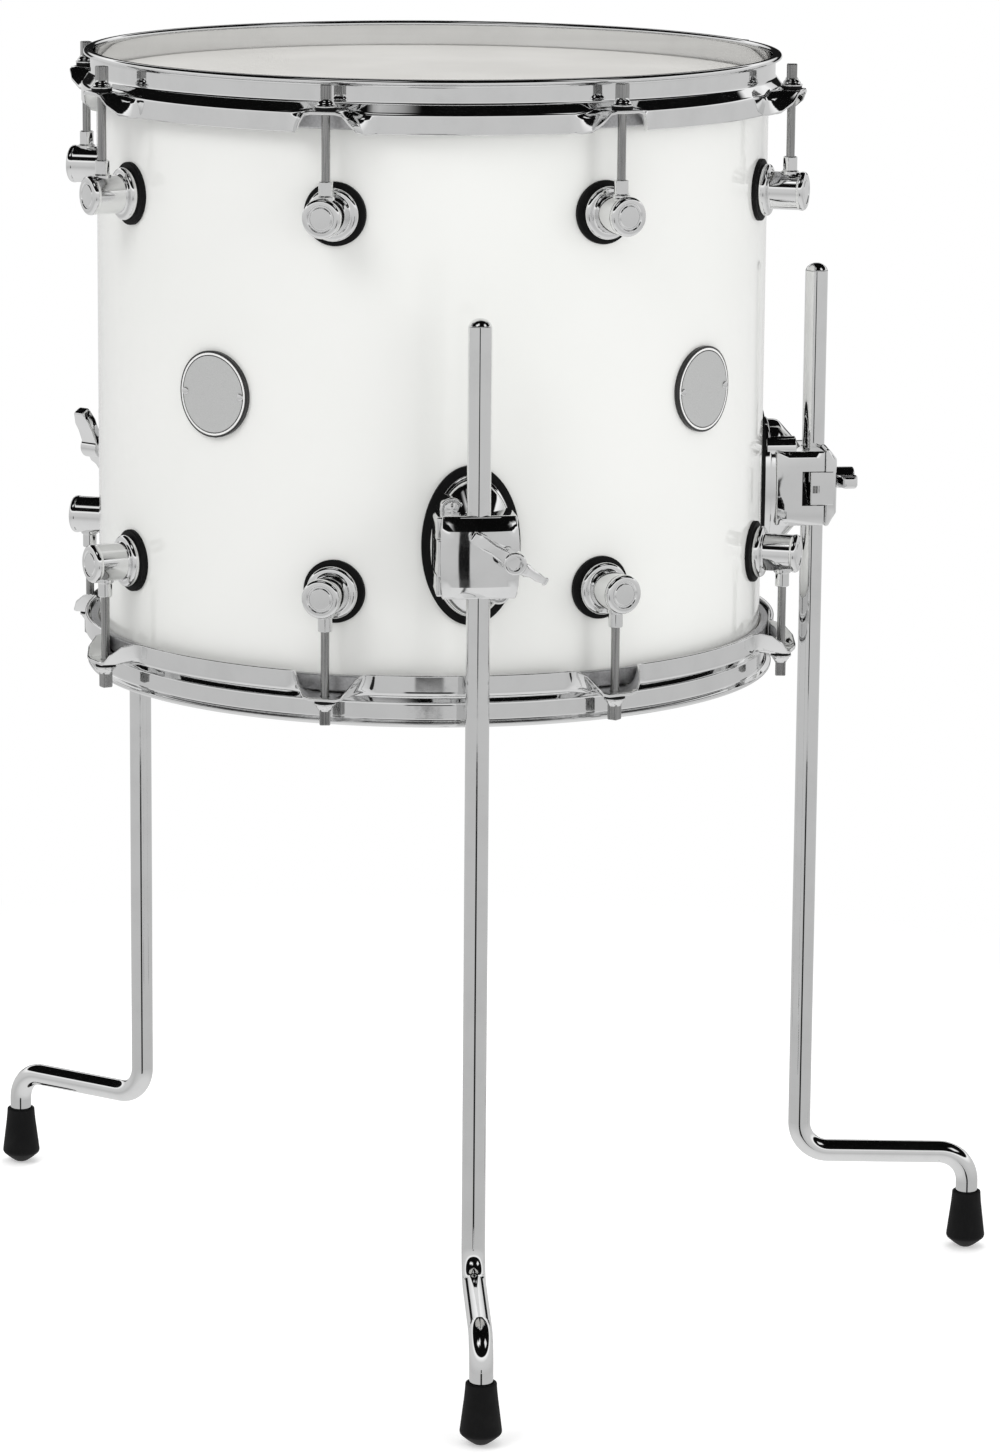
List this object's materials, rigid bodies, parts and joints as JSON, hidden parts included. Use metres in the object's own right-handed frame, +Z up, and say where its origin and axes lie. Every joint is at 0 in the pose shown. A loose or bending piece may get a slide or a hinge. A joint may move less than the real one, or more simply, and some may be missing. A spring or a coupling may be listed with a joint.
{
  "type": "floor tom",
  "caption": "Floor tom drum with a glossy white wooden shell, chromed flanged hoops, round lugs and bent height-adjustable legs in hinged clamps.",
  "frame": {"origin": "on the floor, under the middle of the footprint", "axes": "+Z up along the drum's axis, -Y towards the side between the two front legs, +Y towards the rear leg"},
  "size_m": [0.5142, 0.6174, 0.76],
  "materials": {
    "lacquer": "gloss white lacquer on a plied wooden shell",
    "chrome": "polished chrome plate",
    "steel": "fine machined steel thread and head",
    "aluminium": "satin rolled channel",
    "film": "lightly coated polyester film",
    "rubber": "moulded matt black",
    "badge": "satin silver face with a dark edge, blank",
    "brass": "nickel-plated eyelet"
  },
  "bodies": {
    "drum": {"shell": "lacquer", "batter_head": "film", "resonant_head": "film", "batter_flesh_hoop": "aluminium", "resonant_flesh_hoop": "aluminium", "batter_hoop": "chrome", "resonant_hoop": "chrome", "upper_lug_1": "chrome", "lower_lug_1": "chrome", "upper_lug_2": "chrome", "lower_lug_2": "chrome", "upper_lug_3": "chrome", "lower_lug_3": "chrome", "upper_lug_4": "chrome", "lower_lug_4": "chrome", "upper_lug_5": "chrome", "lower_lug_5": "chrome", "upper_lug_6": "chrome", "lower_lug_6": "chrome", "upper_lug_7": "chrome", "lower_lug_7": "chrome", "upper_lug_8": "chrome", "lower_lug_8": "chrome", "badge_front": "badge", "badge_left": "badge", "vent_grommet": "brass", "bracket_base_front_left": "chrome", "bracket_base_front_right": "chrome", "bracket_base_rear": "chrome"},
    "jaw_front_left": {"bracket_jaw_front_left": "chrome"},
    "screw_front_left": {"wing_screw_front_left": "chrome"},
    "leg_top_front_left": {"leg_plug_front_left": "chrome"},
    "leg_front_left": {"leg_front_left": "chrome", "foot_front_left": "rubber"},
    "jaw_front_right": {"bracket_jaw_front_right": "chrome"},
    "screw_front_right": {"wing_screw_front_right": "chrome"},
    "leg_top_front_right": {"leg_plug_front_right": "chrome"},
    "leg_front_right": {"leg_front_right": "chrome", "foot_front_right": "rubber"},
    "jaw_rear": {"bracket_jaw_rear": "chrome"},
    "screw_rear": {"wing_screw_rear": "chrome"},
    "leg_top_rear": {"leg_plug_rear": "chrome"},
    "leg_rear": {"leg_rear": "chrome", "foot_rear": "rubber"},
    "batter_rod_1": {"batter_tension_rod_1": "steel"},
    "batter_rod_2": {"batter_tension_rod_2": "steel"},
    "batter_rod_3": {"batter_tension_rod_3": "steel"},
    "batter_rod_4": {"batter_tension_rod_4": "steel"},
    "batter_rod_5": {"batter_tension_rod_5": "steel"},
    "batter_rod_6": {"batter_tension_rod_6": "steel"},
    "batter_rod_7": {"batter_tension_rod_7": "steel"},
    "batter_rod_8": {"batter_tension_rod_8": "steel"},
    "resonant_rod_1": {"resonant_tension_rod_1": "steel"},
    "resonant_rod_2": {"resonant_tension_rod_2": "steel"},
    "resonant_rod_3": {"resonant_tension_rod_3": "steel"},
    "resonant_rod_4": {"resonant_tension_rod_4": "steel"},
    "resonant_rod_5": {"resonant_tension_rod_5": "steel"},
    "resonant_rod_6": {"resonant_tension_rod_6": "steel"},
    "resonant_rod_7": {"resonant_tension_rod_7": "steel"},
    "resonant_rod_8": {"resonant_tension_rod_8": "steel"}
  },
  "joints": [
    {"name": "clamp_screw_front_left", "type": "hinge", "parent": "jaw_front_left", "child": "screw_front_left", "pos_m": [-0.16005, -0.23816, 0.493], "axis": [-0.7071, -0.7071, 0], "range_deg": [0, 900]},
    {"name": "jaw_front_left", "type": "hinge", "parent": "drum", "child": "jaw_front_left", "pos_m": [-0.17596, -0.19934, 0.493], "axis": [0, 0, -1], "range_deg": [0, 4.5]},
    {"name": "leg_height_front_left", "type": "slide", "parent": "drum", "child": "leg_top_front_left", "axis": [0, 0, 1], "range_m": [-0.1, 0.29]},
    {"name": "leg_turn_front_left", "type": "hinge", "parent": "leg_top_front_left", "child": "leg_front_left", "pos_m": [-0.16267, -0.21617, 0.629], "axis": [0, 0, 1], "continuous": true},
    {"name": "clamp_screw_front_right", "type": "hinge", "parent": "jaw_front_right", "child": "screw_front_right", "pos_m": [0.19449, -0.21355, 0.493], "axis": [0.7071, -0.7071, 0], "range_deg": [0, 900]},
    {"name": "jaw_front_right", "type": "hinge", "parent": "drum", "child": "jaw_front_right", "pos_m": [0.15567, -0.22946, 0.493], "axis": [0, 0, -1], "range_deg": [0, 4.5]},
    {"name": "leg_height_front_right", "type": "slide", "parent": "drum", "child": "leg_top_front_right", "axis": [0, 0, 1], "range_m": [-0.1, 0.29]},
    {"name": "leg_turn_front_right", "type": "hinge", "parent": "leg_top_front_right", "child": "leg_front_right", "pos_m": [0.1725, -0.21617, 0.629], "axis": [0, 0, 1], "continuous": true},
    {"name": "clamp_screw_rear", "type": "hinge", "parent": "jaw_rear", "child": "screw_rear", "pos_m": [-0.01248, 0.20211, 0.493], "axis": [0, 1, 0], "range_deg": [0, 900]},
    {"name": "jaw_rear", "type": "hinge", "parent": "drum", "child": "jaw_rear", "pos_m": [0.02622, 0.18591, 0.493], "axis": [0, 0, -1], "range_deg": [0, 4.5]},
    {"name": "leg_height_rear", "type": "slide", "parent": "drum", "child": "leg_top_rear", "axis": [0, 0, 1], "range_m": [-0.1, 0.29]},
    {"name": "leg_turn_rear", "type": "hinge", "parent": "leg_top_rear", "child": "leg_rear", "pos_m": [0.00492, 0.18841, 0.629], "axis": [0, 0, 1], "continuous": true},
    {"name": "tension_batter_1", "type": "hinge", "parent": "drum", "child": "batter_rod_1", "pos_m": [0.0893, -0.2523, 0.743], "axis": [0, 0, 1], "range_deg": [-180, 1080]},
    {"name": "tension_batter_2", "type": "hinge", "parent": "drum", "child": "batter_rod_2", "pos_m": [0.20863, -0.13297, 0.743], "axis": [0, 0, 1], "range_deg": [-180, 1080]},
    {"name": "tension_batter_3", "type": "hinge", "parent": "drum", "child": "batter_rod_3", "pos_m": [0.20863, 0.0358, 0.743], "axis": [0, 0, 1], "range_deg": [-180, 1080]},
    {"name": "tension_batter_4", "type": "hinge", "parent": "drum", "child": "batter_rod_4", "pos_m": [0.0893, 0.15513, 0.743], "axis": [0, 0, 1], "range_deg": [-180, 1080]},
    {"name": "tension_batter_5", "type": "hinge", "parent": "drum", "child": "batter_rod_5", "pos_m": [-0.07946, 0.15513, 0.743], "axis": [0, 0, 1], "range_deg": [-180, 1080]},
    {"name": "tension_batter_6", "type": "hinge", "parent": "drum", "child": "batter_rod_6", "pos_m": [-0.1988, 0.0358, 0.743], "axis": [0, 0, 1], "range_deg": [-180, 1080]},
    {"name": "tension_batter_7", "type": "hinge", "parent": "drum", "child": "batter_rod_7", "pos_m": [-0.1988, -0.13297, 0.743], "axis": [0, 0, 1], "range_deg": [-180, 1080]},
    {"name": "tension_batter_8", "type": "hinge", "parent": "drum", "child": "batter_rod_8", "pos_m": [-0.07946, -0.2523, 0.743], "axis": [0, 0, 1], "range_deg": [-180, 1080]},
    {"name": "tension_resonant_1", "type": "hinge", "parent": "drum", "child": "resonant_rod_1", "pos_m": [0.0893, -0.2523, 0.404], "axis": [0, 0, -1], "range_deg": [-180, 1080]},
    {"name": "tension_resonant_2", "type": "hinge", "parent": "drum", "child": "resonant_rod_2", "pos_m": [0.20863, -0.13297, 0.404], "axis": [0, 0, -1], "range_deg": [-180, 1080]},
    {"name": "tension_resonant_3", "type": "hinge", "parent": "drum", "child": "resonant_rod_3", "pos_m": [0.20863, 0.0358, 0.404], "axis": [0, 0, -1], "range_deg": [-180, 1080]},
    {"name": "tension_resonant_4", "type": "hinge", "parent": "drum", "child": "resonant_rod_4", "pos_m": [0.0893, 0.15513, 0.404], "axis": [0, 0, -1], "range_deg": [-180, 1080]},
    {"name": "tension_resonant_5", "type": "hinge", "parent": "drum", "child": "resonant_rod_5", "pos_m": [-0.07946, 0.15513, 0.404], "axis": [0, 0, -1], "range_deg": [-180, 1080]},
    {"name": "tension_resonant_6", "type": "hinge", "parent": "drum", "child": "resonant_rod_6", "pos_m": [-0.1988, 0.0358, 0.404], "axis": [0, 0, -1], "range_deg": [-180, 1080]},
    {"name": "tension_resonant_7", "type": "hinge", "parent": "drum", "child": "resonant_rod_7", "pos_m": [-0.1988, -0.13297, 0.404], "axis": [0, 0, -1], "range_deg": [-180, 1080]},
    {"name": "tension_resonant_8", "type": "hinge", "parent": "drum", "child": "resonant_rod_8", "pos_m": [-0.07946, -0.2523, 0.404], "axis": [0, 0, -1], "range_deg": [-180, 1080]}
  ],
  "couplings": [
    {"joint": "jaw_front_left", "follows": "clamp_screw_front_left", "ratio": 0.005},
    {"joint": "jaw_front_right", "follows": "clamp_screw_front_right", "ratio": 0.005},
    {"joint": "jaw_rear", "follows": "clamp_screw_rear", "ratio": 0.005}
  ]
}
